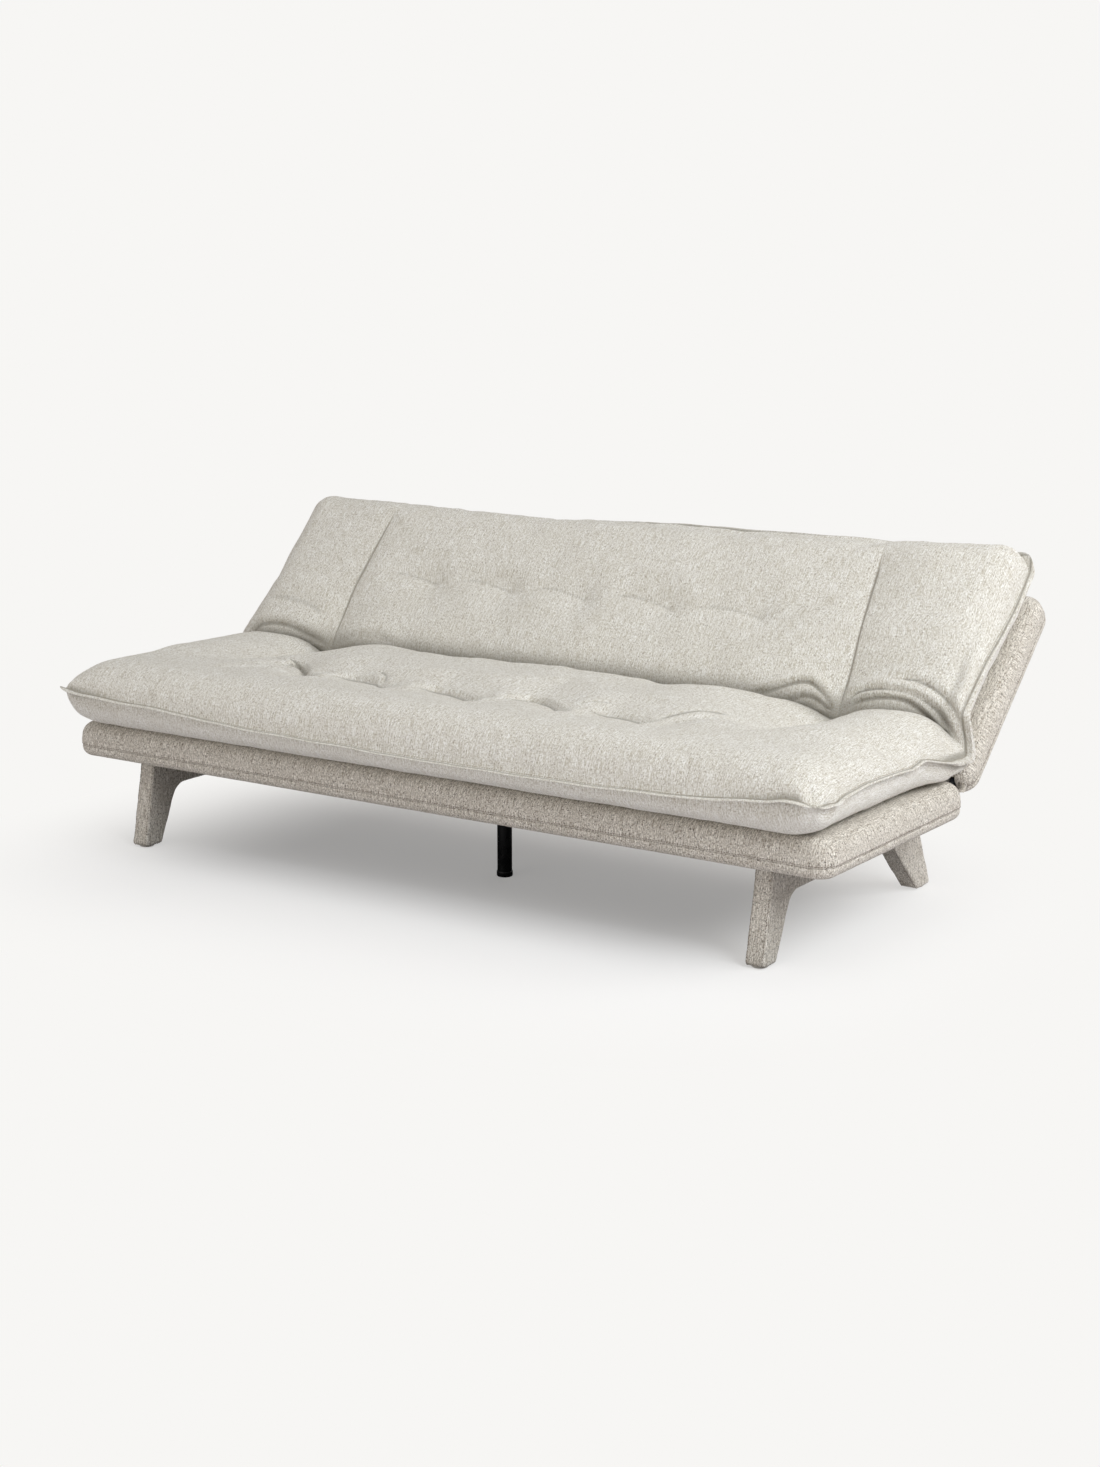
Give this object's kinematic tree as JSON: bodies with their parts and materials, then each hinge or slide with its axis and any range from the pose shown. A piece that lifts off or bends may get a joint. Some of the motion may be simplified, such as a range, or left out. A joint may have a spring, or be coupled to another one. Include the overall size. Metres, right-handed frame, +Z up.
{
  "type": "click clack sofa bed",
  "caption": "Click clack sofa bed: slab base on splayed side frames, slab back on ratchet hinges, and one tufted fold-over mattress.",
  "frame": {"origin": "on the floor, midway along the sofa and midway between the front flange and the rearmost point of the raised back", "axes": "+X along the sofa to the sitter's left, +Y towards the back, +Z up"},
  "size_m": [2, 1.0932, 0.735],
  "materials": {
    "mattress_fabric": "matte",
    "base_fabric": "matte",
    "dust_cover_cloth": "matte",
    "foam_padding": "matte",
    "frame_timber": "matte",
    "spring_steel": "satin",
    "hinge_steel": "satin",
    "black_leg_steel": "gloss",
    "glide_plastic": "matte"
  },
  "bodies": {
    "seat_body": {"seat_cover": "base_fabric", "seat_dust_cover": "dust_cover_cloth", "seat_foam": "foam_padding", "seat_front_rail": "frame_timber", "seat_rear_rail": "frame_timber", "seat_left_end_rail": "frame_timber", "seat_right_end_rail": "frame_timber", "seat_left_cross_rail": "frame_timber", "seat_right_cross_rail": "frame_timber", "seat_centre_rail": "frame_timber", "seat_spring_1": "spring_steel", "seat_spring_2": "spring_steel", "seat_spring_3": "spring_steel", "seat_spring_4": "spring_steel", "seat_spring_5": "spring_steel", "seat_spring_6": "spring_steel", "mattress_seat": "mattress_fabric", "mattress_fold": "mattress_fabric", "hinge_plate_left": "hinge_steel", "click_spring_left": "spring_steel", "pivot_pin_left": "spring_steel", "hinge_plate_right": "hinge_steel", "click_spring_right": "spring_steel", "pivot_pin_right": "spring_steel", "leg_frame_left": "base_fabric", "glide_front_left": "glide_plastic", "glide_rear_left": "glide_plastic", "leg_frame_right": "base_fabric", "glide_front_right": "glide_plastic", "glide_rear_right": "glide_plastic", "centre_leg_tube": "black_leg_steel", "centre_leg_foot": "black_leg_steel", "centre_leg_plate": "black_leg_steel"},
    "back_body": {"back_cover": "base_fabric", "back_rear_cloth": "base_fabric", "back_foam": "foam_padding", "back_bottom_rail": "frame_timber", "back_top_rail": "frame_timber", "back_left_end_rail": "frame_timber", "back_right_end_rail": "frame_timber", "back_left_cross_rail": "frame_timber", "back_right_cross_rail": "frame_timber", "back_centre_rail": "frame_timber", "back_spring_1": "spring_steel", "back_spring_2": "spring_steel", "back_spring_3": "spring_steel", "back_spring_4": "spring_steel", "mattress_back": "mattress_fabric", "hinge_arm_left": "hinge_steel", "hinge_arm_right": "hinge_steel"}
  },
  "joints": [
    {"name": "backrest", "type": "hinge", "parent": "seat_body", "child": "back_body", "pos_m": [0, 0.12553, 0.25], "axis": [1, 0, 0], "range_deg": [-42, 30], "deforming": ["mattress_fold", "click_spring_left", "click_spring_right"]}
  ]
}
